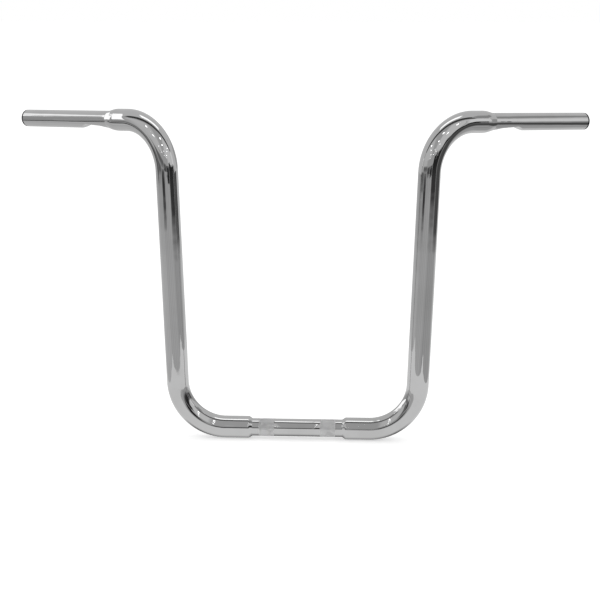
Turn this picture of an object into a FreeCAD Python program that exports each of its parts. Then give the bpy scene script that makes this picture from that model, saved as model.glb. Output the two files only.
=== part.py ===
import FreeCAD, Part
import os

import Sketcher

# A tall motorcycle handlebar bent from one steel tube.
# The full bar is swaged down to a thinner neck at the clamp section and at both grips.
# The underside of each grip is pressed in beside its shoulder, to give the switch wires room.
# A moulded plug closes each end of the tube.
#
# Frame: the origin is the centre of the clamp section, +X is the rider's left, +Z is up,
# and the grips sweep back towards +Y, where the rider sits.

# Driving dimensions, in millimetres and degrees
SIZES = {
    # Tube stock
    "bar_diameter": 31.75,
    "wall_thickness": 3.0,
    # Bends, along the centre line of the tube
    "rise": 444.5,
    "upright_lean": 2.0,
    "grip_sweep": 35.0,
    "grip_droop": 2.3,
    "lower_bend_radius": 69.85,
    "upper_bend_radius": 69.85,
    # Neck at the clamp section, and the straight full bar on each side of it
    "clamp_diameter": 25.4,
    "clamp_length": 130.6,
    "clamp_shoulder": 4.75,
    "clamp_lead": 33.95,
    # Neck at each grip, and the straight full bar between it and the bend
    "grip_diameter": 25.4,
    "grip_length": 174.625,
    "grip_shoulder": 12.7,
    "grip_lead": 22.6,
    # Wire dimple in the underside of each grip, set back from the full bar
    "dimple_overrun": 2.675,
    "dimple_run_out": 28.0,
    "dimple_floor": 31.0,
    "dimple_ramp": 12.5,
    "dimple_inner_depth": 4.0,
    "dimple_depth": 6.35,
    "dimple_instep_radius": 40.0,
    "dimple_heel_radius": 14.0,
    # End plug
    "plug_head_inset": 0.2,
    "plug_head_thickness": 3.0,
    "plug_shank_length": 17.0,
    "plug_shank_wall": 3.0,
    "plug_clearance": 0.1,
}

doc = FreeCAD.newDocument("handlebar")

sheet = doc.addObject("Spreadsheet::Sheet", "sizes")
for row, (alias, value) in enumerate(SIZES.items(), start=1):
    sheet.set(f"A{row}", alias.replace("_", " "))
    sheet.set(f"B{row}", str(value))
    sheet.setAlias(f"B{row}", alias)
doc.recompute()

# The bend table, worked out from the driving dimensions.
# The grip's direction is split into parts across the upright, backwards, and up the upright.
GRIP_ACROSS = (
    "(cos(sizes.grip_droop) * cos(sizes.grip_sweep) * cos(sizes.upright_lean)"
    " + sin(sizes.grip_droop) * sin(sizes.upright_lean))"
)
GRIP_BACK = "(cos(sizes.grip_droop) * sin(sizes.grip_sweep))"
GRIP_UP = (
    "(cos(sizes.grip_droop) * cos(sizes.grip_sweep) * sin(sizes.upright_lean)"
    " - sin(sizes.grip_droop) * cos(sizes.upright_lean))"
)
LOWER_TANGENT = "sizes.lower_bend_radius * tan(bends.lower_turn / 2)"
UPPER_TANGENT = "sizes.upper_bend_radius * tan(bends.upper_turn / 2)"
GRIP_NECKED = "sizes.grip_length + sizes.grip_shoulder"
BEND_TABLE = {
    "lower_turn": "90 deg - sizes.upright_lean * 1 deg",
    "upper_turn": f"acos({GRIP_UP})",
    "twist": f"180 deg + atan({GRIP_BACK} / {GRIP_ACROSS})",
    "base_straight": "sizes.clamp_length / 2 + sizes.clamp_shoulder + sizes.clamp_lead",
    "upright_straight": (
        f"sizes.rise / cos(sizes.upright_lean) - {LOWER_TANGENT} - {UPPER_TANGENT}"
    ),
    "grip_straight": f"{GRIP_NECKED} + sizes.grip_lead",
}
bends = doc.addObject("App::VarSet", "bends")
for name, expression in BEND_TABLE.items():
    kind = "App::PropertyLength" if name.endswith("straight") else "App::PropertyAngle"
    bends.addProperty(kind, name, "bend_table")
    bends.setExpression(name, expression)
doc.recompute()

# Distance within which two points count as one
TOUCHING = 1e-4

# Moves from one run of the tube to the next: z is the run's direction, x points into the bend
CLAMP_FRAME = "placement(vector(0; 0; 0); rotation(vector(1; 0; 1); 180))"
TURN_BACK = "placement(vector(0; 0; 0); rotation(vector(0; 1; 0); 180))"
TWIST = "placement(vector(0; 0; 0); rotation(vector(0; 0; 1); bends.twist))"


def advance(length):
    """A move straight along the run."""
    return f"placement(vector(0; 0; {length}); rotation(vector(0; 0; 1); 0))"


def round_bend(radius, turn):
    """A move round a bend that curves towards x."""
    across = f"{radius} * (1 - cos({turn}))"
    along = f"{radius} * sin({turn})"
    return f"placement(vector({across}; 0; {along}); rotation(vector(0; 1; 0); {turn}))"


def number(expression):
    """The present value of an expression, for drawing a sketch before it is constrained."""
    value = sheet.evalExpression(expression)
    return float(getattr(value, "Value", value))


def new_body(label, frame):
    body = doc.addObject("PartDesign::Body", label)
    body.Label = label
    body.setExpression("Placement", frame)
    return body


def origin_item(body, role):
    return next(item for item in body.Origin.OriginFeatures if item.Role == role)


def new_sketch(body, name):
    """A sketch on the body's own XZ plane: x is the radius, y runs along the axis."""
    sketch = body.newObject("Sketcher::SketchObject", name)
    sketch.AttachmentSupport = [(origin_item(body, "XZ_Plane"), "")]
    sketch.MapMode = "FlatFace"
    return sketch


def line(start, end):
    return Part.LineSegment(FreeCAD.Vector(*start, 0), FreeCAD.Vector(*end, 0))


def constrain(sketch, *rules):
    for rule in rules:
        sketch.addConstraint(Sketcher.Constraint(*rule))


def outline(sketch, *corners):
    """Draws a closed outline of straight lines, and joins each line's end to the next one's start."""
    sides = sketch.addGeometry([line(a, b) for a, b in zip(corners, corners[1:] + corners[:1])])
    for side, following in zip(sides, sides[1:] + sides[:1]):
        constrain(sketch, ("Coincident", side, 2, following, 1))
    return sides


def drive(sketch, name, kind, where, expression):
    """Adds a named dimension to a sketch and binds it to its expression."""
    index = sketch.addConstraint(Sketcher.Constraint(kind, *where, number(expression)))
    sketch.renameConstraint(index, name)
    sketch.setExpression(f"Constraints.{name}", expression)


def revolve(body, sketch, name):
    feature = body.newObject("PartDesign::Revolution", name)
    feature.Profile = sketch
    feature.ReferenceAxis = (sketch, ["V_Axis"])
    feature.Angle = 360
    return feature


def add_necked_run(body, name, neck, bar, neck_length, shoulder, run_length):
    """Turns a neck that starts at the body's origin and tapers up to the full bar at a shoulder."""
    neck_r = number(neck)
    bar_r = number(bar)
    neck_end = number(neck_length)
    bar_start = neck_end + number(shoulder)
    run_end = number(run_length)

    sketch = new_sketch(body, f"{name}_profile")
    axis, rim, side, taper, full, end = outline(
        sketch,
        (0, run_end),
        (0, 0),
        (neck_r, 0),
        (neck_r, neck_end),
        (bar_r, bar_start),
        (bar_r, run_end),
    )
    constrain(
        sketch,
        ("Coincident", axis, 2, -1, 1),
        ("Vertical", axis),
        ("Horizontal", rim),
        ("Vertical", side),
        ("Vertical", full),
        ("Horizontal", end),
    )
    drive(sketch, "neck_radius", "DistanceX", (rim, 1, rim, 2), neck)
    drive(sketch, "bar_radius", "DistanceX", (-1, 1, full, 2), bar)
    drive(sketch, "neck_length", "DistanceY", (side, 1, side, 2), neck_length)
    drive(sketch, "shoulder", "DistanceY", (taper, 1, taper, 2), shoulder)
    drive(sketch, "run_length", "DistanceY", (-1, 1, full, 2), run_length)
    return revolve(body, sketch, name)


def fillet(body, base, name, radius, belongs):
    """Rounds those edges of the body's last feature that belongs() picks."""
    doc.recompute()
    edges = [
        f"Edge{index}"
        for index, edge in enumerate(base.Shape.Edges, start=1)
        if belongs(edge)
    ]
    feature = body.newObject("PartDesign::Fillet", name)
    feature.Base = (base, edges)
    feature.setExpression("Radius", radius)
    return feature


def add_dimple(body, neck, bar, inset):
    """Presses the dimple into the -x side: a ramp, a sloping floor and a long run-out.

    Its lines are set by four points: where the ramp leaves the grip, the two ends of the
    floor, and where the run-out meets the full bar.
    """
    meet_y = f"{GRIP_NECKED} + sizes.dimple_overrun"
    instep_y = f"{meet_y} - sizes.dimple_run_out"
    heel_y = f"{instep_y} - sizes.dimple_floor"
    leave_y = f"{heel_y} - sizes.dimple_ramp"
    heel_x = f"{neck} - sizes.dimple_depth"
    instep_x = f"{neck} - sizes.dimple_inner_depth"
    clear_x = "sizes.bar_diameter"

    leave = (-number(neck), number(leave_y))
    heel = (-number(heel_x), number(heel_y))
    instep = (-number(instep_x), number(instep_y))
    meet = (-number(bar), number(meet_y))
    clear = -number(clear_x)
    ramp_grade = (leave[1] - heel[1]) / (leave[0] - heel[0])
    run_out_grade = (meet[1] - instep[1]) / (meet[0] - instep[0])
    ramp_top = (clear, heel[1] + (clear - heel[0]) * ramp_grade)
    run_out_top = (clear, instep[1] + (clear - instep[0]) * run_out_grade)

    sketch = new_sketch(body, f"{body.Name}_dimple_profile")
    ramp, floor, run_out, lid = outline(sketch, ramp_top, heel, instep, run_out_top)
    leaving, meeting = sketch.addGeometry(
        [Part.Point(FreeCAD.Vector(*leave, 0)), Part.Point(FreeCAD.Vector(*meet, 0))], True
    )
    constrain(
        sketch,
        ("Vertical", lid),
        ("PointOnObject", leaving, 1, ramp),
        ("PointOnObject", meeting, 1, run_out),
    )
    drive(sketch, "leave_x", "DistanceX", (leaving, 1, -1, 1), neck)
    drive(sketch, "leave_y", "DistanceY", (-1, 1, leaving, 1), leave_y)
    drive(sketch, "heel_x", "DistanceX", (floor, 1, -1, 1), heel_x)
    drive(sketch, "heel_y", "DistanceY", (-1, 1, floor, 1), heel_y)
    drive(sketch, "instep_x", "DistanceX", (floor, 2, -1, 1), instep_x)
    drive(sketch, "instep_y", "DistanceY", (-1, 1, floor, 2), instep_y)
    drive(sketch, "meet_x", "DistanceX", (meeting, 1, -1, 1), bar)
    drive(sketch, "meet_y", "DistanceY", (-1, 1, meeting, 1), meet_y)
    drive(sketch, "clear_x", "DistanceX", (lid, 1, -1, 1), clear_x)

    press = body.newObject("PartDesign::Pocket", f"{body.Name}_dimple")
    press.Profile = sketch
    press.Type = "Length"
    press.SideType = "Symmetric"
    press.setExpression("Length", "2 * sizes.bar_diameter")

    def crosses_at(place):
        """Whether an edge runs straight across the dimple through that point of its profile."""
        spot = FreeCAD.Vector(place[0], 0, place[1])
        return lambda edge: edge.distToShape(Part.Vertex(spot))[0] < TOUCHING

    heel_round = fillet(
        body, press, f"{body.Name}_heel", f"sizes.dimple_heel_radius + {inset}", crosses_at(heel)
    )
    fillet(
        body,
        heel_round,
        f"{body.Name}_instep",
        f"sizes.dimple_instep_radius + {inset}",
        crosses_at(instep),
    )


def add_bend(name, frame, radius, turn, tube):
    """A bend that starts at the frame, runs along its z and curves towards its x."""
    bend = doc.addObject("Part::Torus", name)
    bend.setExpression("Radius1", radius)
    bend.setExpression("Radius2", tube)
    bend.setExpression("Angle3", turn)
    centre = f"placement(vector({radius}; 0; 0); rotation(vector(0; 1; 1); 180))"
    bend.setExpression("Placement", f"{frame} * {centre}")
    return bend


def add_run(part_of, inset):
    """One solid of the bar's whole run, with every radius smaller by inset."""
    bar = f"(sizes.bar_diameter / 2 - {inset})"
    clamp_neck = f"(sizes.clamp_diameter / 2 - {inset})"
    grip_neck = f"(sizes.grip_diameter / 2 - {inset})"

    clamp = new_body(f"{part_of}_clamp", CLAMP_FRAME)
    half = add_necked_run(
        clamp,
        f"{part_of}_clamp_half",
        clamp_neck,
        bar,
        "sizes.clamp_length / 2",
        "sizes.clamp_shoulder",
        "bends.base_straight",
    )
    both = clamp.newObject("PartDesign::Mirrored", f"{part_of}_clamp_both")
    both.Originals = [half]
    both.MirrorPlane = (origin_item(clamp, "XY_Plane"), [""])
    clamp.Tip = both

    at_lower_bend = f"{clamp.Name}.Placement * {advance('bends.base_straight')}"
    lower_bend = add_bend(
        f"{part_of}_lower_bend", at_lower_bend, "sizes.lower_bend_radius", "bends.lower_turn", bar
    )

    upright = doc.addObject("Part::Cylinder", f"{part_of}_upright")
    upright.setExpression("Radius", bar)
    upright.setExpression("Height", "bends.upright_straight")
    past_lower_bend = round_bend("sizes.lower_bend_radius", "bends.lower_turn")
    upright.setExpression("Placement", f"{at_lower_bend} * {past_lower_bend}")

    at_upper_bend = f"{upright.Name}.Placement * {advance('bends.upright_straight')} * {TWIST}"
    upper_bend = add_bend(
        f"{part_of}_upper_bend", at_upper_bend, "sizes.upper_bend_radius", "bends.upper_turn", bar
    )

    past_upper_bend = round_bend("sizes.upper_bend_radius", "bends.upper_turn")
    grip_frame = f"{at_upper_bend} * {past_upper_bend} * {advance('bends.grip_straight')}"
    grip = new_body(f"{part_of}_grip", f"{grip_frame} * {TURN_BACK}")
    add_necked_run(
        grip,
        f"{part_of}_grip_run",
        grip_neck,
        bar,
        "sizes.grip_length",
        "sizes.grip_shoulder",
        "bends.grip_straight",
    )
    add_dimple(grip, grip_neck, bar, inset)

    left_arm = doc.addObject("Part::MultiFuse", f"{part_of}_left_arm")
    left_arm.Shapes = [lower_bend, upright, upper_bend, grip]
    right_arm = doc.addObject("Part::Mirroring", f"{part_of}_right_arm")
    right_arm.Source = left_arm
    right_arm.Normal = FreeCAD.Vector(1, 0, 0)
    run = doc.addObject("Part::MultiFuse", f"{part_of}_run")
    run.Shapes = [clamp, left_arm, right_arm]
    return run, grip


def add_plug(label, grip):
    """A head that closes the tube, and a hollow shank that slides into its bore."""
    plug = new_body(label, f"{grip.Name}.Placement * {TURN_BACK}")
    head_r = "sizes.grip_diameter / 2 - sizes.plug_head_inset"
    shank_r = "sizes.grip_diameter / 2 - sizes.wall_thickness - sizes.plug_clearance"
    hollow_r = f"{shank_r} - sizes.plug_shank_wall"
    thick = number("sizes.plug_head_thickness")
    wide = number(head_r)
    shank = number(shank_r)
    hollow = number(hollow_r)
    deep = -number("sizes.plug_shank_length")

    sketch = new_sketch(plug, f"{label}_profile")
    axis, face, rim, seat, side, foot, bore, roof = outline(
        sketch,
        (0, 0),
        (0, thick),
        (wide, thick),
        (wide, 0),
        (shank, 0),
        (shank, deep),
        (hollow, deep),
        (hollow, 0),
    )
    constrain(
        sketch,
        ("Coincident", axis, 1, -1, 1),
        ("Vertical", axis),
        ("Horizontal", face),
        ("Vertical", rim),
        ("PointOnObject", seat, 1, -1),
        ("Horizontal", seat),
        ("Vertical", side),
        ("Horizontal", foot),
        ("Vertical", bore),
        ("Horizontal", roof),
    )
    drive(sketch, "head_thickness", "DistanceY", (axis, 1, axis, 2), "sizes.plug_head_thickness")
    drive(sketch, "head_radius", "DistanceX", (-1, 1, rim, 2), head_r)
    drive(sketch, "shank_radius", "DistanceX", (-1, 1, side, 1), shank_r)
    drive(sketch, "hollow_radius", "DistanceX", (-1, 1, bore, 2), hollow_r)
    drive(sketch, "shank_length", "DistanceY", (side, 2, side, 1), "sizes.plug_shank_length")
    revolve(plug, sketch, f"{label}_turned")
    return plug


# The tube: its skin, less its bore, both along the same run
skin, skin_grip = add_run("skin", "0")
bore, _ = add_run("bore", "sizes.wall_thickness")
handlebar = doc.addObject("Part::Cut", "handlebar")
handlebar.Label = "handlebar"
handlebar.Base = skin
handlebar.Tool = bore

# The plugs: a pair, the right one the left one's mirror image
left_plug = add_plug("left_end_plug", skin_grip)
right_plug = doc.addObject("Part::Mirroring", "right_end_plug")
right_plug.Label = "right_end_plug"
right_plug.Source = left_plug
right_plug.Normal = FreeCAD.Vector(1, 0, 0)

doc.recompute()
for item in doc.Objects:
    if "Invalid" in item.State or "Error" in item.State:
        raise RuntimeError(f"{item.Label} did not build: {item.State}")
    if item.TypeId == "Sketcher::SketchObject" and not item.FullyConstrained:
        raise RuntimeError(f"{item.Label} is not fully constrained")

sub_parts = [handlebar, left_plug, right_plug]
for item in sub_parts:
    shape = item.Shape
    if shape.isNull() or not shape.isValid() or len(shape.Solids) != 1:
        raise RuntimeError(f"{item.Label} is not one valid solid")

os.makedirs("parts", exist_ok=True)
for item in sub_parts:
    item.Shape.exportStep(f"parts/{item.Label}.step")
    box = item.Shape.optimalBoundingBox()
    print(
        f"{item.Label}: {item.Shape.Volume / 1000:.1f} cm3,"
        f" {box.XLength:.1f} x {box.YLength:.1f} x {box.ZLength:.1f} mm"
    )
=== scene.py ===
# %% [markdown]
# # A chrome motorcycle handlebar
#
# The bar is one steel tube, bent four times, thinner where the clamps and the grips go on, and
# chrome plated. A black moulded plug closes each end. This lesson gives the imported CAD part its
# looks: it first takes in the CAD frame, then makes each piece, its finish, and a small studio.

# %% Take in the CAD frame
import math

import bpy
import numpy as np
from mathutils import Matrix


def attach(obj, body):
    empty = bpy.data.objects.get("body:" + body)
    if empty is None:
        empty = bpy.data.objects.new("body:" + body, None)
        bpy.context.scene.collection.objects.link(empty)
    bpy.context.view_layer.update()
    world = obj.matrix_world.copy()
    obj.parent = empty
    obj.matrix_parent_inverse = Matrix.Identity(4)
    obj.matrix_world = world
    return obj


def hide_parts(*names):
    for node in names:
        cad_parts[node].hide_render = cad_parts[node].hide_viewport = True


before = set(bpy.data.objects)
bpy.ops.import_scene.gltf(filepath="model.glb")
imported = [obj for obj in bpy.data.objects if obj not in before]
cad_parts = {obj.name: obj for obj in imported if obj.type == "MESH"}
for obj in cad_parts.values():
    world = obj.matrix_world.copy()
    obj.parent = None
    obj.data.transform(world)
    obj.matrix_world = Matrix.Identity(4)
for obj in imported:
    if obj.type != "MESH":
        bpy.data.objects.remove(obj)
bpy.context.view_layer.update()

print("CAD nodes:", sorted(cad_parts))

# %% [markdown]
# ## The centre line
#
# A tube bender works from a centre line: straight runs joined by arcs. Blender can sweep a curve
# with a bevel, but the bevel can't swell at the shoulders or press in a dimple. So the line is
# followed here in small steps, and each step keeps a point, the way onwards, and one direction
# across the tube that turns only with the bends, so that the rings made on it don't twist. Sizes
# are in millimetres until the points are made.

# %% Walk along half of the bar
RISE = 444.5
LEAN = math.radians(2.0)
SWEEP = math.radians(35.0)
DROOP = math.radians(2.3)
BEND_RADIUS = 69.85
BASE_HALF = 104.0
GRIP_RUN = 209.925
TINY = 1e-9

ALONG_BASE = np.array([1.0, 0.0, 0.0])
UP_UPRIGHT = np.array([math.sin(LEAN), 0.0, math.cos(LEAN)])
ALONG_GRIP = np.array([
    math.cos(DROOP) * math.cos(SWEEP),
    math.cos(DROOP) * math.sin(SWEEP),
    -math.sin(DROOP),
])


def turned(vector, axis, angle):
    """A vector turned about a unit axis."""
    return (
        vector * math.cos(angle)
        + np.cross(axis, vector) * math.sin(angle)
        + axis * axis.dot(vector) * (1 - math.cos(angle))
    )


def bend_angle(before, after):
    return math.acos(before.dot(after))


lower_turn = bend_angle(ALONG_BASE, UP_UPRIGHT)
upper_turn = bend_angle(UP_UPRIGHT, ALONG_GRIP)
upright_run = RISE / math.cos(LEAN) - BEND_RADIUS * (
    math.tan(lower_turn / 2) + math.tan(upper_turn / 2)
)
PIECES = [
    ("straight", BASE_HALF, None),
    ("bend", BEND_RADIUS * lower_turn, UP_UPRIGHT),
    ("straight", upright_run, None),
    ("bend", BEND_RADIUS * upper_turn, ALONG_GRIP),
    ("straight", GRIP_RUN, None),
]
HALF_RUN = sum(length for kind, length, heading in PIECES)
GRIP_START = HALF_RUN - GRIP_RUN


def place(run):
    """The point, heading and across direction at a distance from the middle of the bar."""
    point = np.zeros(3)
    heading = ALONG_BASE
    across = np.array([0.0, 0.0, 1.0])
    to_go = run
    for kind, length, after in PIECES:
        step = min(to_go, length)
        to_go -= step
        if kind == "straight":
            point = point + heading * step
        else:
            axis = np.cross(heading, after)
            axis /= np.linalg.norm(axis)
            inward = np.cross(axis, heading)
            angle = step / BEND_RADIUS
            centre = point + inward * BEND_RADIUS
            point = centre + turned(point - centre, axis, angle)
            heading = turned(heading, axis, angle)
            across = turned(across, axis, angle)
        if to_go <= TINY:
            break
    return point, heading, across


tube_end, grip_heading, grip_across = place(HALF_RUN)
print("tube end at", np.round(tube_end, 3), "mm, half run", round(HALF_RUN, 2), "mm")

# %% [markdown]
# ## The tube's section
#
# The full tube is 31.75 mm across. It is swaged down to 25.4 mm at the clamps and at the grips,
# with a short taper between them whose two corners are rounded. Beside each grip's shoulder the
# underside is pressed flat, so that switch wires can pass under the grip. A modifier could cut
# that flat, but its edges would be sharp. Here each ring's radius is worked out instead, and the
# flat is joined to the round with a soft minimum, as a press leaves it.

# %% Radius of the tube at any place
BAR_RADIUS = 15.875
NECK_RADIUS = 12.7
CLAMP_NECK = 65.3
CLAMP_SHOULDER = (4.75, 1.5, 4.5)
GRIP_NECK = 174.625
GRIP_SHOULDER = (12.7, 4.0, 45.0)
DIMPLE_AT = [118.5, 131.0, 162.0, 190.0]
DIMPLE_FLOOR = [12.7, 6.35, 8.7, 15.875]
DIMPLE_ROUND = 2.95
RIM_SOFTNESS = 1.1
DIMPLE_MARGIN = 8.0
FLOOR_SAMPLES = 41
LEAST_FACING = 0.05


def shoulder(distance, length, toe, crown):
    """Radius at a distance past the end of a neck: a taper with a hollow toe and a round crown."""
    slope = math.atan2(BAR_RADIUS - NECK_RADIUS, length)
    toe_reach = toe * math.tan(slope / 2)
    crown_reach = crown * math.tan(slope / 2)
    if distance < -toe_reach:
        return NECK_RADIUS
    if distance < toe_reach * math.cos(slope):
        return NECK_RADIUS + toe - math.sqrt(toe**2 - (distance + toe_reach) ** 2)
    if distance < length - crown_reach * math.cos(slope):
        return NECK_RADIUS + distance * math.tan(slope)
    if distance < length + crown_reach:
        to_end = length + crown_reach - distance
        return BAR_RADIUS - crown + math.sqrt(crown**2 - to_end**2)
    return BAR_RADIUS


def round_radius(run):
    """Radius of the tube before the dimple is pressed in."""
    if run < GRIP_START:
        return shoulder(run - CLAMP_NECK, *CLAMP_SHOULDER)
    return shoulder(HALF_RUN - run - GRIP_NECK, *GRIP_SHOULDER)


def dimple_floor(run):
    """Distance of the dimple's floor from the centre line, with its corners rounded."""
    spots = HALF_RUN - run + np.linspace(-DIMPLE_ROUND, DIMPLE_ROUND, FLOOR_SAMPLES)
    first_slope = (DIMPLE_FLOOR[1] - DIMPLE_FLOOR[0]) / (DIMPLE_AT[1] - DIMPLE_AT[0])
    last_slope = (DIMPLE_FLOOR[3] - DIMPLE_FLOOR[2]) / (DIMPLE_AT[3] - DIMPLE_AT[2])
    inside = np.interp(spots, DIMPLE_AT, DIMPLE_FLOOR)
    before = DIMPLE_FLOOR[0] + (spots - DIMPLE_AT[0]) * first_slope
    past = DIMPLE_FLOOR[3] + (spots - DIMPLE_AT[3]) * last_slope
    line = np.where(spots < DIMPLE_AT[0], before, np.where(spots > DIMPLE_AT[3], past, inside))
    return float(line.mean())


def soft_minimum(a, b, softness):
    """The smaller of two values, rounded off where they are close to each other."""
    overlap = np.maximum(softness - np.abs(a - b), 0) / softness
    return np.minimum(a, b) - overlap**2 * softness / 4


under = -UP_UPRIGHT + UP_UPRIGHT.dot(grip_heading) * grip_heading
under /= np.linalg.norm(under)
UNDER_ANGLE = math.atan2(np.cross(grip_heading, grip_across).dot(under), grip_across.dot(under))


def ring_radii(run, angles, inset):
    """Radius of each point of a ring, smaller by the inset for the bore."""
    radii = np.full(len(angles), round_radius(run) - inset)
    from_end = HALF_RUN - run
    if DIMPLE_AT[0] - DIMPLE_MARGIN < from_end < DIMPLE_AT[3] + DIMPLE_MARGIN:
        facing = np.cos(angles - UNDER_ANGLE)
        flat = (dimple_floor(run) - inset) / np.maximum(facing, LEAST_FACING)
        radii = soft_minimum(radii, flat, RIM_SOFTNESS)
    return radii


print("underside of the grip at", round(math.degrees(UNDER_ANGLE), 1), "degrees round the ring")

# %% [markdown]
# ## Where the rings stand
#
# The skin is stretched over rings. They stand close together in the bends, on the shoulders and
# over the dimples, and far apart on the straight runs, where nothing changes. Close rings
# everywhere would look the same and take many more faces.

# %% Where the rings stand
SEGMENTS = 80
FINER = 3
KNURL_SEGMENTS = FINER * SEGMENTS
GROOVES_ROUND = 60
GROOVES_ALONG = 16.5
KNURL_PITCH = 2 * math.pi * NECK_RADIUS / GROOVES_ROUND
KNURL_MIDDLE = 44.45
KNURL_WIDTH = GROOVES_ALONG * KNURL_PITCH
KNURL_LIP = 0.6
NECK_MARGIN = 0.6
BAR_MARGIN = 1.5
PRESS_MARGIN = 6.0
END_LIP = 0.4
BEND_STEP = BEND_RADIUS * math.radians(1.5)
ROUNDING = 1e-6

knurl_start = KNURL_MIDDLE - KNURL_WIDTH / 2
knurl_end = KNURL_MIDDLE + KNURL_WIDTH / 2
clamp_thin = CLAMP_NECK - NECK_MARGIN
clamp_full = CLAMP_NECK + CLAMP_SHOULDER[0] + BAR_MARGIN
lower_end = BASE_HALF + BEND_RADIUS * lower_turn
upper_start = lower_end + upright_run
dimple_in = HALF_RUN - DIMPLE_AT[3] - PRESS_MARGIN
dimple_out = HALF_RUN - DIMPLE_AT[0] + PRESS_MARGIN


def spread(start, end, step):
    """Evenly spaced distances from start up to, but not at, the end."""
    count = max(1, math.ceil((end - start) / step - ROUNDING))
    return list(start + (end - start) * np.arange(count) / count)


def rings_along(stretches):
    """Distances from the middle of the bar to its end. Each stretch has an end and a step."""
    distances = []
    start = 0.0
    for end, step in stretches:
        distances += spread(start, end, step)
        start = end
    return distances + [start]


skin_runs = rings_along([
    (knurl_start, 12),
    (knurl_end, KNURL_PITCH / 4),
    (knurl_end + KNURL_LIP, KNURL_LIP),
    (clamp_thin, 4),
    (clamp_full, 0.35),
    (BASE_HALF, 9),
    (lower_end, BEND_STEP),
    (upper_start, 24),
    (GRIP_START, BEND_STEP),
    (dimple_in, 5),
    (dimple_out, 0.9),
    (HALF_RUN - END_LIP, 14),
    (HALF_RUN, END_LIP),
])
bore_runs = rings_along([
    (clamp_thin, 33),
    (clamp_full, 1.6),
    (BASE_HALF, 20),
    (lower_end, 3 * BEND_STEP),
    (upper_start, 80),
    (GRIP_START, 3 * BEND_STEP),
    (dimple_in, 8),
    (dimple_out, 3),
    (HALF_RUN, 30),
])
print(len(skin_runs), "rings on half of the skin,", len(bore_runs), "on half of the bore")

# %% [markdown]
# ## The knurl
#
# The riser clamps bite on two knurled bands, each 22 mm wide. A knurling tool rolls two sets of
# slanting grooves into the neck, and they leave rows of small pyramids that stand a little proud of
# it. A bump would look right from afar, but it has no outline. So these rings get three times as
# many points, and each point is pushed in by the deeper of the two grooves that pass it.

# %% Depth of the knurl
GROOVE_DEPTH = 0.47
CREST = 0.18
KNURL_EDGE = 0.5


def knurl_offset(run, angles):
    """How far the knurl stands proud of the plain neck, or is cut into it, in millimetres."""
    turns = angles / (2 * math.pi) * GROOVES_ROUND
    steps = (run - knurl_start) / KNURL_PITCH
    left_hand = np.abs((turns + steps) % 1 - 0.5) * 2
    right_hand = np.abs((turns - steps) % 1 - 0.5) * 2
    to_edge = min(run - knurl_start, knurl_end - run) / KNURL_EDGE
    fade = min(1.0, max(0.0, to_edge))
    return fade * (CREST - GROOVE_DEPTH * np.maximum(left_hand, right_hand))


print("knurl", round(KNURL_WIDTH, 2), "mm wide, its grooves", round(KNURL_PITCH, 3), "mm apart")

# %% [markdown]
# ## The points of the rings
#
# Each ring stands square across the centre line. The bar is the same on both sides, so only one
# half is worked out, and the rings of the other half are its mirror image. The rings of the bore
# are made in the same way, smaller by the wall.

# %% Make the ring points
MM = 0.001
WALL = 3.0
MIRROR = np.array([-1.0, 1.0, 1.0])


def ring(run, inset, mirrored):
    """One ring of points across the tube, in metres."""
    knurled = inset == 0 and knurl_start <= run <= knurl_end
    count = KNURL_SEGMENTS if knurled else SEGMENTS
    angles = np.arange(count) * 2 * math.pi / count
    radii = ring_radii(run, angles, inset)
    if knurled:
        radii = radii + knurl_offset(run, angles)
    point, heading, across = place(run)
    other = np.cross(heading, across)
    points = point + radii[:, None] * (
        np.cos(angles)[:, None] * across + np.sin(angles)[:, None] * other
    )
    if mirrored:
        points = points * MIRROR
    return points * MM


rings = [ring(run, 0, True) for run in reversed(skin_runs[1:])]
rings += [ring(run, 0, False) for run in skin_runs]
rings += [ring(run, WALL, False) for run in reversed(bore_runs)]
rings += [ring(run, WALL, True) for run in bore_runs[1:]]
print(len(rings), "rings in all")

# %% [markdown]
# ## The skin
#
# Walking over the rings from one end to the other outside, and back inside, gives the skin, the
# bore and both end faces as one closed mesh. Where a knurled ring meets a plain one, each face
# takes three short edges on one side and one long edge on the other.

# %% Stretch the skin over the rings
SHARP_ON_BAR = 40


def skin_over(rings):
    """Points and faces of a closed skin over rings of equal count, or of three times the count."""
    starts = np.cumsum([0] + [len(points) for points in rings])
    faces = []
    for index in range(len(rings)):
        following = (index + 1) % len(rings)
        here = starts[index]
        there = starts[following]
        count = len(rings[index])
        other = len(rings[following])
        fewer = min(count, other)
        for j in range(fewer):
            k = (j + 1) % fewer
            if count == other:
                faces.append((here + j, here + k, there + k, there + j))
            elif count < other:
                fine = [there + (FINER * j + n) % other for n in range(FINER + 1)]
                faces.append((here + j, here + k, *reversed(fine)))
            else:
                fine = [here + (FINER * j + n) % count for n in range(FINER + 1)]
                faces.append((*fine, there + k, there + j))
    return np.concatenate(rings), faces


def new_mesh_object(name, points, faces, sharp_angle):
    """A smooth piece whose edges are sharp where its faces meet at more than an angle."""
    mesh = bpy.data.meshes.new(name)
    mesh.from_pydata([tuple(p) for p in points], [], faces)
    mesh.validate()
    mesh.shade_smooth()
    mesh.set_sharp_from_angle(angle=math.radians(sharp_angle))
    made = bpy.data.objects.new(name, mesh)
    bpy.context.scene.collection.objects.link(made)
    return made


points, faces = skin_over(rings)
bar = new_mesh_object("chrome_bar", points, faces, SHARP_ON_BAR)
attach(bar, "root")
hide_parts("handlebar")
print("bar:", len(bar.data.vertices), "points,", sum(len(f) - 2 for f in faces), "triangles")

# %% [markdown]
# ## The end plugs
#
# Each plug is a small moulding: a round head, a little smaller than the grip's neck so that a grip
# slides on over it, and a hollow shank pressed into the bore. It is round, so it is turned from an
# outline, as on a lathe. The head's edge is rounded, and its face has a shallow dish with the small
# pip that a moulding gate leaves.

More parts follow.
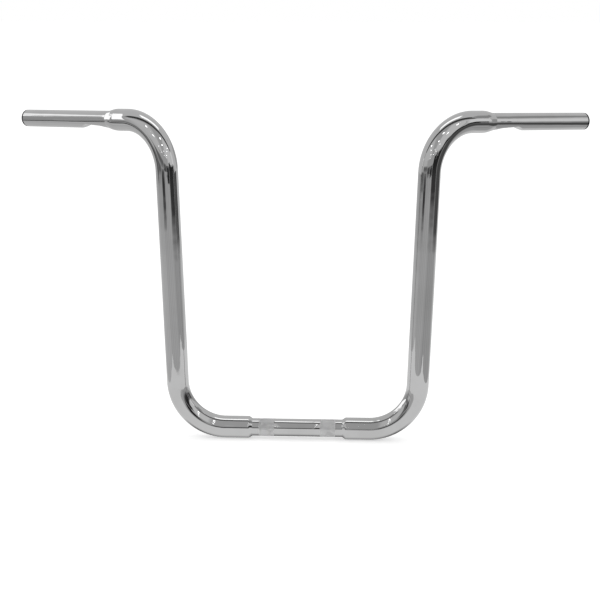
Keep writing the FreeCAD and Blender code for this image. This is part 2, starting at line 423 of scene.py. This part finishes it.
# %% Turn the plugs
PLUG_RADIUS = 12.5
PLUG_HEAD = 3.0
PLUG_EDGE = 0.5
PLUG_SHANK = 9.6
PLUG_HOLLOW = 6.6
PLUG_DEPTH = 17.0
PLUG_SEGMENTS = 72
LEAD_IN = 0.6
LEAD_LENGTH = 0.8
DISH_RADIUS = 9.6
DISH_EDGE = 1.2
DISH_DEPTH = 0.45
PIP = [(1.1, DISH_DEPTH), (0.9, 0.2), (0.5, 0.1)]
SHARP_ON_PLUG = 35

corner = [
    (
        PLUG_RADIUS - PLUG_EDGE * (1 - math.sin(turn)),
        PLUG_HEAD - PLUG_EDGE * (1 - math.cos(turn)),
    )
    for turn in np.linspace(0, math.pi / 2, 9)
]
dish = [
    (DISH_RADIUS - DISH_EDGE * t, PLUG_HEAD - DISH_DEPTH * t * t * (3 - 2 * t))
    for t in np.linspace(0, 1, 7)
]
pip = [(radius, PLUG_HEAD - depth) for radius, depth in PIP]
plug_outline = (
    [(PLUG_HOLLOW, 0.0), (PLUG_HOLLOW, -PLUG_DEPTH), (PLUG_SHANK - LEAD_IN, -PLUG_DEPTH)]
    + [(PLUG_SHANK, -PLUG_DEPTH + LEAD_LENGTH), (PLUG_SHANK, 0.0), (PLUG_RADIUS, 0.0)]
    + list(reversed(corner))
    + dish
    + pip
)


def turn_on_axis(name, outline, origin, axis, across, mirrored):
    """A closed turned piece: the outline's ends are closed on the axis."""
    other = np.cross(axis, across)
    angles = np.arange(PLUG_SEGMENTS) * 2 * math.pi / PLUG_SEGMENTS
    out = np.cos(angles)[:, None] * across + np.sin(angles)[:, None] * other
    rows = [origin + axis * height + radius * out for radius, height in outline]
    hubs = [origin + axis * outline[end][1] for end in (0, -1)]
    points = np.concatenate(rows + [hubs])
    faces = []
    for row in range(len(outline) - 1):
        for j in range(PLUG_SEGMENTS):
            k = (j + 1) % PLUG_SEGMENTS
            a = row * PLUG_SEGMENTS
            b = a + PLUG_SEGMENTS
            faces.append((a + j, a + k, b + k, b + j))
    last = (len(outline) - 1) * PLUG_SEGMENTS
    hub = len(outline) * PLUG_SEGMENTS
    for j in range(PLUG_SEGMENTS):
        k = (j + 1) % PLUG_SEGMENTS
        faces.append((k, j, hub))
        faces.append((last + j, last + k, hub + 1))
    if mirrored:
        points = points * MIRROR
        faces = [tuple(reversed(face)) for face in faces]
    return new_mesh_object(name, points * MM, faces, SHARP_ON_PLUG)


plugs = []
for name, node, mirrored in (
    ("left_plug", "left_end_plug", False),
    ("right_plug", "right_end_plug", True),
):
    plug = turn_on_axis(name, plug_outline, tube_end, grip_heading, grip_across, mirrored)
    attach(plug, "root")
    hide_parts(node)
    plugs.append(plug)
    print(name, "has", len(plug.data.polygons), "faces")

# %% [markdown]
# ## Effects that the finishes share
#
# Two things show on every real surface here: the faint film that hands and cloths leave, and the
# slight ripple that plating and moulding leave. Each is built once as a node group, with named
# sockets, and each finish then sets its own values on it. The film puts out a mask from 0 to 1,
# and the ripple puts out a height for a bump.

# %% Node groups for film and ripple
FILM_MIDDLE = 0.55


def new_group(name, inputs, outputs):
    """An empty shader group with number sockets, and its two end nodes."""
    group = bpy.data.node_groups.new(name, "ShaderNodeTree")
    for label, value in inputs:
        socket = group.interface.new_socket(label, in_out="INPUT", socket_type="NodeSocketFloat")
        socket.default_value = value
    for label in outputs:
        group.interface.new_socket(label, in_out="OUTPUT", socket_type="NodeSocketFloat")
    return group, group.nodes.new("NodeGroupInput"), group.nodes.new("NodeGroupOutput")


def noise_node(tree, detail, roughness):
    """Noise in the object's own coordinates, which are metres here."""
    coordinates = tree.nodes.new("ShaderNodeTexCoord")
    noise = tree.nodes.new("ShaderNodeTexNoise")
    noise.inputs["Detail"].default_value = detail
    noise.inputs["Roughness"].default_value = roughness
    tree.links.new(coordinates.outputs["Object"], noise.inputs["Vector"])
    return noise


film, film_in, film_out = new_group(
    "handling_film", [("Scale", 20.0), ("Spread", 0.12)], ["Mask"]
)
blotches = noise_node(film, detail=5.0, roughness=0.6)
edges = film.nodes.new("ShaderNodeMapRange")
edges.interpolation_type = "SMOOTHSTEP"
for operation, edge in (("SUBTRACT", "From Min"), ("ADD", "From Max")):
    limit = film.nodes.new("ShaderNodeMath")
    limit.operation = operation
    limit.inputs[0].default_value = FILM_MIDDLE
    film.links.new(film_in.outputs["Spread"], limit.inputs[1])
    film.links.new(limit.outputs["Value"], edges.inputs[edge])
film.links.new(film_in.outputs["Scale"], blotches.inputs["Scale"])
film.links.new(blotches.outputs["Fac"], edges.inputs["Value"])
film.links.new(edges.outputs["Result"], film_out.inputs["Mask"])

ripple, ripple_in, ripple_out = new_group(
    "surface_ripple", [("Scale", 60.0), ("Depth", 1.0)], ["Height"]
)
swell = noise_node(ripple, detail=2.0, roughness=0.45)
depth = ripple.nodes.new("ShaderNodeMath")
depth.operation = "MULTIPLY"
ripple.links.new(ripple_in.outputs["Scale"], swell.inputs["Scale"])
ripple.links.new(swell.outputs["Fac"], depth.inputs[0])
ripple.links.new(ripple_in.outputs["Depth"], depth.inputs[1])
ripple.links.new(depth.outputs["Value"], ripple_out.inputs["Height"])
print("groups:", [group.name for group in bpy.data.node_groups])

# %% [markdown]
# ## One plan for every finish
#
# Each finish here is a material of the same plan: a clean and a filmed colour, a clean and a filmed
# roughness, and a ripple. A function builds it, so that the finishes differ only in their values.

# %% A finish that uses them
def new_finish(name, metallic, clean_colour, film_colour, roughness, film_values, ripple_values):
    """A material whose colour and roughness follow the film, over a slightly rippled surface."""
    material = bpy.data.materials.new(name)
    material.use_nodes = True
    tree = material.node_tree
    shader = tree.nodes["Principled BSDF"]
    shader.inputs["Metallic"].default_value = metallic
    film_node = tree.nodes.new("ShaderNodeGroup")
    film_node.node_tree = film
    for label, value in film_values.items():
        film_node.inputs[label].default_value = value
    colour = tree.nodes.new("ShaderNodeMix")
    colour.data_type = "RGBA"
    colour.inputs["A"].default_value = (*clean_colour, 1.0)
    colour.inputs["B"].default_value = (*film_colour, 1.0)
    dullness = tree.nodes.new("ShaderNodeMapRange")
    dullness.inputs["To Min"].default_value = roughness[0]
    dullness.inputs["To Max"].default_value = roughness[1]
    ripple_node = tree.nodes.new("ShaderNodeGroup")
    ripple_node.node_tree = ripple
    for label in ("Scale", "Depth"):
        ripple_node.inputs[label].default_value = ripple_values[label]
    bump = tree.nodes.new("ShaderNodeBump")
    bump.inputs["Distance"].default_value = ripple_values["Distance"]
    tree.links.new(film_node.outputs["Mask"], colour.inputs["Factor"])
    tree.links.new(colour.outputs["Result"], shader.inputs["Base Color"])
    tree.links.new(film_node.outputs["Mask"], dullness.inputs["Value"])
    tree.links.new(dullness.outputs["Result"], shader.inputs["Roughness"])
    tree.links.new(ripple_node.outputs["Height"], bump.inputs["Height"])
    tree.links.new(bump.outputs["Normal"], shader.inputs["Normal"])
    print("finish", name, "made")
    return material


# %% [markdown]
# ## Chrome
#
# Bright chrome is nickel and chromium plated on polished steel. Chromium gives back a little more
# than half of the light that falls on it, nearly without colour, so a chrome part looks as light
# or dark as the room around it. The base colour is that measured grey, the roughness is low, and
# a very long ripple bends the reflections a little, as a hand-polished tube does. On the
# knurled bands the plating is dull, so the bands get a finish of their own, rougher, and with a
# base colour paler than chromium. That paler colour is painted light: it stands in for the light
# that goes to and fro between the small pyramids.

# %% Chrome for the tube and for its knurl
SKIN_DEPTH = 1.0
chrome = new_finish(
    "polished_chrome",
    metallic=1.0,
    clean_colour=(0.54, 0.54, 0.542),
    film_colour=(0.505, 0.505, 0.505),
    roughness=(0.03, 0.075),
    film_values={"Scale": 14.0, "Spread": 0.14},
    ripple_values={"Scale": 26.0, "Depth": 1.0, "Distance": 0.0004},
)
# The knurl's base colour is paler than chromium: painted light for the brighter look of the bands.
knurl_chrome = new_finish(
    "knurled_chrome",
    metallic=1.0,
    clean_colour=(0.71, 0.71, 0.712),
    film_colour=(0.64, 0.64, 0.64),
    roughness=(0.45, 0.6),
    film_values={"Scale": 90.0, "Spread": 0.1},
    ripple_values={"Scale": 1500.0, "Depth": 1.0, "Distance": 0.00006},
)
bar.data.materials.append(chrome)
bar.data.materials.append(knurl_chrome)
middles = np.empty(len(bar.data.polygons) * 3)
bar.data.polygons.foreach_get("center", middles)
middles = middles.reshape(-1, 3) / MM
on_band = np.abs(np.abs(middles[:, 0]) - KNURL_MIDDLE) < KNURL_WIDTH / 2
on_skin = np.hypot(middles[:, 1], middles[:, 2]) > NECK_RADIUS - SKIN_DEPTH
on_knurl = on_band & on_skin
bar.data.polygons.foreach_set("material_index", on_knurl.astype(np.int32))
print(int(on_knurl.sum()), "faces of the knurl")

# %% [markdown]
# ## Black moulding
#
# The plugs are a black moulded plastic with a fine spark grain from the mould and a little dust in
# it. The grain is far too small for geometry, so it is the same ripple at a small scale.

# %% Plastic for the plugs
PLASTIC_SHEEN = 0.05
plastic = new_finish(
    "black_moulding",
    metallic=0.0,
    clean_colour=(0.009, 0.009, 0.0095),
    film_colour=(0.02, 0.02, 0.021),
    roughness=(0.5, 0.68),
    film_values={"Scale": 160.0, "Spread": 0.15},
    ripple_values={"Scale": 2200.0, "Depth": 1.0, "Distance": 0.00005},
)
plastic_shader = plastic.node_tree.nodes["Principled BSDF"]
plastic_shader.inputs["Specular IOR Level"].default_value = PLASTIC_SHEEN
for plug in plugs:
    plug.data.materials.append(plastic)

# %% [markdown]
# ## The camera
#
# The photograph was taken from in front, a little above, with a long lens. Matching its angle by
# eye is slow, so the lens, the place and the turn were fitted to the bar's outline in
# the photograph and are written here as numbers. A camera looks along its own -Z, with +Y up.

# %% Set up the camera
SENSOR = 36.0
LENS = 86.017
CAMERA_PLACE = (0.1033, -2.0022, 0.6189)
LOOK_DOWN = 12.073
LOOK_ASIDE = 2.849
LEAN_OVER = 0.091
camera_data = bpy.data.cameras.new("photo_camera")
camera_data.sensor_width = SENSOR
camera_data.lens = LENS
camera = bpy.data.objects.new("photo_camera", camera_data)
bpy.context.scene.collection.objects.link(camera)
tilt = Matrix.Rotation(math.radians(90.0 - LOOK_DOWN), 4, "X")
pan = Matrix.Rotation(math.radians(LOOK_ASIDE), 4, "Z")
roll = Matrix.Rotation(math.radians(LEAN_OVER), 4, "Z")
camera.matrix_world = Matrix.Translation(CAMERA_PLACE) @ pan @ tilt @ roll
bpy.context.scene.camera = camera
print("camera", [round(x, 3) for x in camera.location], "lens", camera_data.lens, "mm")

# %% [markdown]
# ## The floor and the light
#
# The photograph's background is plain white, and chrome shows whatever stands around it. So the
# floor and the world are white for the camera and for reflections, and the Light Path node picks
# those rays out. For all other rays the world is a plain soft light. The floor stays an ordinary
# pale surface with a little white added, so that it keeps the bar's shadow.

# %% White world and pale floor
FLOOR = -0.0165
FLOOR_REACH = 30.0
FLOOR_GREY = 0.8
FLOOR_WHITE = 0.5
WORLD_LIGHT = 0.8
WHITE = (1.0, 1.0, 1.0, 1.0)


def seen_rays(tree):
    """A value of 1 for rays from the camera, a reflection or through glass, and 0 otherwise."""
    path = tree.nodes.new("ShaderNodeLightPath")
    total = path.outputs["Is Camera Ray"]
    for label in ("Is Glossy Ray", "Is Transmission Ray"):
        plus = tree.nodes.new("ShaderNodeMath")
        plus.operation = "ADD"
        plus.use_clamp = True
        tree.links.new(total, plus.inputs[0])
        tree.links.new(path.outputs[label], plus.inputs[1])
        total = plus.outputs["Value"]
    return total


def flat_card(left, right, front, back, height):
    """Corners of a level rectangle."""
    return [
        (left, front, height),
        (right, front, height),
        (right, back, height),
        (left, back, height),
    ]


world = bpy.data.worlds.new("white_studio")
bpy.context.scene.world = world
world.use_nodes = True
tree = world.node_tree
background = tree.nodes["Background"]
background.inputs["Color"].default_value = WHITE
strength = tree.nodes.new("ShaderNodeMapRange")
strength.inputs["To Min"].default_value = WORLD_LIGHT
strength.inputs["To Max"].default_value = 1.0
tree.links.new(seen_rays(tree), strength.inputs["Value"])
tree.links.new(strength.outputs["Result"], background.inputs["Strength"])

floor_mesh = bpy.data.meshes.new("floor")
corners = flat_card(-FLOOR_REACH, FLOOR_REACH, -FLOOR_REACH, FLOOR_REACH, FLOOR)
floor_mesh.from_pydata(corners, [], [(0, 1, 2, 3)])
floor = bpy.data.objects.new("floor", floor_mesh)
bpy.context.scene.collection.objects.link(floor)
pale = bpy.data.materials.new("pale_floor")
pale.use_nodes = True
tree = pale.node_tree
shader = tree.nodes["Principled BSDF"]
shader.inputs["Base Color"].default_value = (FLOOR_GREY, FLOOR_GREY, FLOOR_GREY, 1.0)
shader.inputs["Roughness"].default_value = 1.0
shader.inputs["Specular IOR Level"].default_value = 0.0
shader.inputs["Emission Color"].default_value = WHITE
lift = tree.nodes.new("ShaderNodeMapRange")
lift.inputs["To Max"].default_value = FLOOR_WHITE
tree.links.new(seen_rays(tree), lift.inputs["Value"])
tree.links.new(lift.outputs["Result"], shader.inputs["Emission Strength"])
floor_mesh.materials.append(pale)
bpy.context.scene.view_settings.view_transform = "Standard"
print("floor at", FLOOR, "m, world light", WORLD_LIGHT)

# %% [markdown]
# ## What the chrome reflects
#
# In an all-white studio chrome would look like flat grey paint. Photographers stand grey and black
# boards round it, and their edges draw the long lines that make a round tube look round and
# polished. Here the bar stands on a pale table in a grey room. All of the room is hidden from the
# camera and casts no shadow: it only shows in reflections. It is built of flat cards, and each
# card has a brightness at each corner, so that it can fade into what is next to it.

# %% Cards that only reflections see
card_glow = bpy.data.materials.new("card_glow")
card_glow.use_nodes = True
tree = card_glow.node_tree
tree.nodes.remove(tree.nodes["Principled BSDF"])
level = tree.nodes.new("ShaderNodeAttribute")
level.attribute_name = "level"
glow = tree.nodes.new("ShaderNodeEmission")
tree.links.new(level.outputs["Fac"], glow.inputs["Strength"])
tree.links.new(glow.outputs["Emission"], tree.nodes["Material Output"].inputs["Surface"])
card_glow.cycles.emission_sampling = "NONE"


def add_cards(name, cards):
    """One stage object of flat cards, each with a brightness at each of its corners."""
    points = [corner for corners, levels in cards for corner in corners]
    starts = np.cumsum([0] + [len(corners) for corners, levels in cards])
    mesh = bpy.data.meshes.new(name)
    mesh.from_pydata(points, [], [tuple(range(a, b)) for a, b in zip(starts, starts[1:])])
    attribute = mesh.attributes.new("level", "FLOAT", "POINT")
    values = np.concatenate([np.broadcast_to(levels, len(corners)) for corners, levels in cards])
    attribute.data.foreach_set("value", values.astype(np.float32))
    mesh.materials.append(card_glow)
    made = bpy.data.objects.new(name, mesh)
    bpy.context.scene.collection.objects.link(made)
    made.visible_camera = False
    made.visible_diffuse = False
    made.visible_shadow = False
    print(name, "has", len(cards), "cards")


def spot(bearing, distance):
    """A place in plan. Bearings run from straight ahead of the bar towards the rider's left."""
    angle = math.radians(bearing)
    return (distance * math.sin(angle), -distance * math.cos(angle))


def upright_card(start, end, low, high):
    """Corners of an upright rectangle between two places in plan."""
    return [(*start, low), (*end, low), (*end, high), (*start, high)]


# %% [markdown]
# ## The room
#
# The walls and the floor are laid in narrow strips that fan out from the bar. Neighbouring strips
# of the floor differ a little, and the uprights turn that into their faint long streaks. The walls
# are lighter on both sides than straight ahead. So is the ceiling, which is also lighter behind the
# bar. Right under the bar lies a pale table.

# %% Table, floor, walls and ceiling
CARD_TOP = FLOOR + 0.0003
CARD_GAP = 0.0002
WALLS = 7.0
WALL_FOOT = -0.02
ROOM_REACH = 8
CEILING = 2.4
SIDE_CEILING = CEILING - 0.01
TABLE = (-0.46, 0.46, -0.4, 0.5)
TABLE_LEVEL = 0.93
MIDDLE_LEVEL = 0.54
REAR_LEVEL = 0.74
REAR_START = -0.2
SIDES_END = -0.9
CEILING_RIGHT = [(-ROOM_REACH, 0.76), (-1.0, 0.76), (-0.6, MIDDLE_LEVEL)]
CEILING_LEFT = [(0.6, MIDDLE_LEVEL), (1.0, 0.84), (ROOM_REACH, 0.84)]
STRIP_WIDTH = 4.0
STREAK = 0.08
STREAK_WAVES = (0.9, 0.31)
FLOOR_SPOTS = [-125, -90, -60, -45, 22, 34, 105, 125]
NEAR_LEVELS = [0.72, 0.66, 0.64, 0.56, 0.57, 0.47, 0.5, 0.8]
FAR_LEVELS = [0.6, 0.44, 0.44, 0.46, 0.55, 0.44, 0.44, 0.8]
WALL_SPOTS = [-150, -112, -84, -72, -44, -26, 20, 34, 70, 76]
WALL_LEVELS = [0.6, 0.5, 0.46, 0.72, 0.72, 0.52, 0.52, 0.84, 0.84, 0.48]

room = [
    (flat_card(*TABLE, CARD_TOP), TABLE_LEVEL),
    (flat_card(-ROOM_REACH, ROOM_REACH, -ROOM_REACH, REAR_START, CEILING), MIDDLE_LEVEL),
    (flat_card(-ROOM_REACH, ROOM_REACH, REAR_START, ROOM_REACH, CEILING), REAR_LEVEL),
]
for side in (CEILING_RIGHT, CEILING_LEFT):
    for (left, a), (right, b) in zip(side, side[1:]):
        card = flat_card(left, right, -ROOM_REACH, SIDES_END, SIDE_CEILING)
        room.append((card, [a, b, b, a]))

bearings = np.arange(-180, 181, STRIP_WIDTH)
quick, slow = STREAK_WAVES
streaks = STREAK * np.sin(bearings * quick) * np.cos(bearings * slow)
near_levels = streaks + np.interp(bearings, FLOOR_SPOTS, NEAR_LEVELS)
far_levels = streaks + np.interp(bearings, FLOOR_SPOTS, FAR_LEVELS)
wall_levels = np.interp(bearings, WALL_SPOTS, WALL_LEVELS)
floor_rings = [(0.2, near_levels), (1.2, near_levels), (2.8, far_levels), (WALLS, far_levels)]
for here in range(len(bearings) - 1):
    first, last = bearings[here : here + 2]
    for (inner, start), (outer, end) in zip(floor_rings, floor_rings[1:]):
        places = [spot(first, inner), spot(last, inner), spot(last, outer), spot(first, outer)]
        corners = [(x, y, CARD_TOP - CARD_GAP) for x, y in places]
        room.append((corners, [start[here], start[here + 1], end[here + 1], end[here]]))
    a, b = wall_levels[here : here + 2]
    wall = upright_card(spot(first, WALLS), spot(last, WALLS), WALL_FOOT, CEILING)
    room.append((wall, [a, b, b, a]))
add_cards("grey_room", room)

# %% [markdown]
# ## Dark boards
#
# Dark boards stand between the floor and the walls, and their reflections are the dark bands on
# the uprights and the bends. Each gets lighter towards its foot, where light from the table reaches
# it, and fades out at its sides. The widest one has posts of different heights on it, which leave a
# ragged edge in the upper bend. A long dark rail hangs overhead and draws the dark arc along the
# tops of the bends, and a thin rod does the same along one grip. A small grey flag keeps a far
# light panel out of the bend on the rider's left.

# %% Dark boards, rail, rod and flag
ROOM_LEVEL = 0.52
BOARD_FADE = 5.0
RAIL_LEVEL = 0.07
ROD_LEVEL = 0.08
FLAG_LEVEL = 0.75
POST_DISTANCE = 1.54
POST_FOOT = 0.44
POST_FADE = 1.0


def board(first, last, distance, rows, fade=BOARD_FADE):
    """Cards of an upright board. Its rows are heights with a brightness, and its sides fade out."""
    sides = [(first - fade, False), (first, True), (last, True), (last + fade, False)]
    cards = []
    for (a, a_full), (b, b_full) in zip(sides, sides[1:]):
        for (low, foot), (high, top) in zip(rows, rows[1:]):
            corners = upright_card(spot(a, distance), spot(b, distance), low, high)
            full = [a_full, b_full, b_full, a_full]
            levels = [foot, foot, top, top]
            cards.append((corners, [x if on else ROOM_LEVEL for x, on in zip(levels, full)]))
    return cards


def boards_of(table):
    """Cards of all the boards in a table."""
    return [card for values in table for card in board(*values)]


# Both bearings, the distance, and the rows. The last value, where there is one, is the fade.
boards = boards_of([
    (-85, -58, 1.25, [(0.19, 0.52), (0.235, 0.17), (0.27, 0.17), (0.33, 0.5)]),
    (-50, -29, 1.23, [(0.08, 0.54), (0.165, 0.07), (0.21, 0.05), (0.28, 0.3)]),
    (-62, -26, 1.7, [(0.27, 0.35), (0.4, 0.17), (0.5, 0.2), (0.58, 0.5)]),
    (-22, 0, 3.6, [(-0.01, 0.2), (0.05, 0.09), (0.5, 0.12), (0.64, 0.4)]),
    (4, 26, 3.55, [(-0.01, 0.12), (0.04, 0.03), (0.45, 0.03), (0.58, 0.4)]),
    (7, 27, 1.6, [(0.18, 0.03), (0.36, 0.03), (0.4, 0.3)], 2.0),
    (29, 76, 1.55, [(0.0, 0.47), (0.145, 0.06), (0.3, 0.03), (0.45, 0.03)]),
    (28, 42, 1.545, [(0.44, 0.03), (0.6, 0.03)], 1.0),
    (74, 79.5, 1.55, [(0.33, 0.04), (0.57, 0.03)], 1.0),
    (77, 118, 0.95, [(0.1, 0.48), (0.15, 0.1), (0.31, 0.1), (0.35, 0.2)]),
])
POSTS = [(27, 32, 0.64), (36, 40, 0.68), (44, 47, 0.57)]
POSTS += [(50, 55, 0.53), (61, 64, 0.54), (68, 73, 0.5)]
for first, last, top in POSTS:
    boards += board(first, last, POST_DISTANCE, [(POST_FOOT, 0.03), (top, 0.05)], POST_FADE)
rail = flat_card(-2.4, 2.4, -0.45, -0.12, 1.7)
rod = upright_card((-0.5, -0.03), (-0.82, 0.2), 0.305, 0.35)
flag = upright_card((-0.005, -0.01), (0.07, 0.18), 0.36, 0.58)
boards += [(rail, RAIL_LEVEL), (rod, ROD_LEVEL), (flag, FLAG_LEVEL)]
add_cards("dark_boards", boards)

# %% [markdown]
# ## Lights in the reflections
#
# Small lamps sit in rows in the ceiling, and show as white dots in the upper bend. Light panels
# stand at the sides. Behind the rider's right, a broad one and a narrow one above it draw the white
# line along that grip, and a slanted strip draws the white patch on its shoulder. On the rider's
# left, a panel gives the other grip its pale middle, and a dim one draws the darker line above it.

# %% Ceiling lamps and light panels
LAMP_RADIUS = 0.11
LAMP_SIDES = 12
LAMP_LEVEL = 8.0
LAMP_HEIGHT = CEILING - 0.02
PANEL_LEVEL = 1.9
SLANT_AT = -1.0
SLANT = [(0.5, -0.13, -0.075), (0.69, -0.065, -0.012), (0.9, 0.025, 0.13), (1.08, 0.17, 0.29)]
lights = boards_of([
    (-138, -93, 3.0, [(0.46, PANEL_LEVEL), (1.8, PANEL_LEVEL)], 1.0),
    (-112, -94, 2.6, [(1.42, 0.6), (1.64, 1.6), (1.9, 1.6), (2.1, 0.8)], 4.0),
    (73, 90, 3.4, [(0.55, 0.5), (0.66, 1.0), (2.0, 1.0), (2.15, 0.6)]),
    (88, 112, 1.6, [(1.27, 0.6), (1.33, 0.4), (1.65, 0.4), (1.8, 0.6)]),
])
for (low, a, b), (high, c, d) in zip(SLANT, SLANT[1:]):
    outline = [(a, low), (b, low), (d, high), (c, high)]
    lights.append(([(SLANT_AT, y, z) for y, z in outline], PANEL_LEVEL))
turns = np.arange(LAMP_SIDES) * 2 * math.pi / LAMP_SIDES
rim = [(LAMP_RADIUS * math.cos(turn), LAMP_RADIUS * math.sin(turn)) for turn in turns]
for x in (-1.7, 0.45, 2.3):
    for y in (-1.5, -2.6, -4.4, -6.4):
        lights.append(([(x + dx, y + dy, LAMP_HEIGHT) for dx, dy in rim], LAMP_LEVEL))
add_cards("lights", lights)

# %% [markdown]
# ## Shade on the table
#
# Under the base and behind it the table lies in the bar's own shade. A narrow dark strip on it
# stands for that, and draws the thin dark line along the underside of the tube.

# %% Shade under the base
SHADE_HALF = 0.15
SHADE_END = 0.19
SHADE_TOP = CARD_TOP + CARD_GAP
SHADE = [(-0.014, TABLE_LEVEL), (-0.0115, 0.82), (-0.0078, 0.54)]
SHADE += [(-0.003, 0.18), (0.03, 0.18), (0.06, TABLE_LEVEL)]
shade = []
for (front, a), (back, b) in zip(SHADE, SHADE[1:]):
    for left, right, levels in (
        (-SHADE_HALF, SHADE_HALF, [a, a, b, b]),
        (SHADE_HALF, SHADE_END, [a, TABLE_LEVEL, TABLE_LEVEL, b]),
        (-SHADE_END, -SHADE_HALF, [TABLE_LEVEL, a, b, TABLE_LEVEL]),
    ):
        shade.append((flat_card(left, right, front, back, SHADE_TOP), levels))
add_cards("table_shade", shade)

# %% [markdown]
# ## A soft lamp
#
# One broad lamp hangs overhead, a little behind the bar. It gives the plugs their shape, throws
# the soft shadow on the floor, and draws the white lines along the tops of the bends.

# %% Soft lamp overhead
LAMP_BRIGHTNESS = 1.3
lamp_data = bpy.data.lights.new("soft_lamp", "AREA")
lamp_data.shape = "RECTANGLE"
lamp_data.size = 1.3
lamp_data.size_y = 0.4
lamp_data.energy = LAMP_BRIGHTNESS * math.pi * lamp_data.size * lamp_data.size_y
lamp = bpy.data.objects.new("soft_lamp", lamp_data)
lamp.location = (0.0, 0.3, 2.1)
bpy.context.scene.collection.objects.link(lamp)
print("lamp of", round(lamp_data.energy, 2), "W hung at", list(lamp.location))
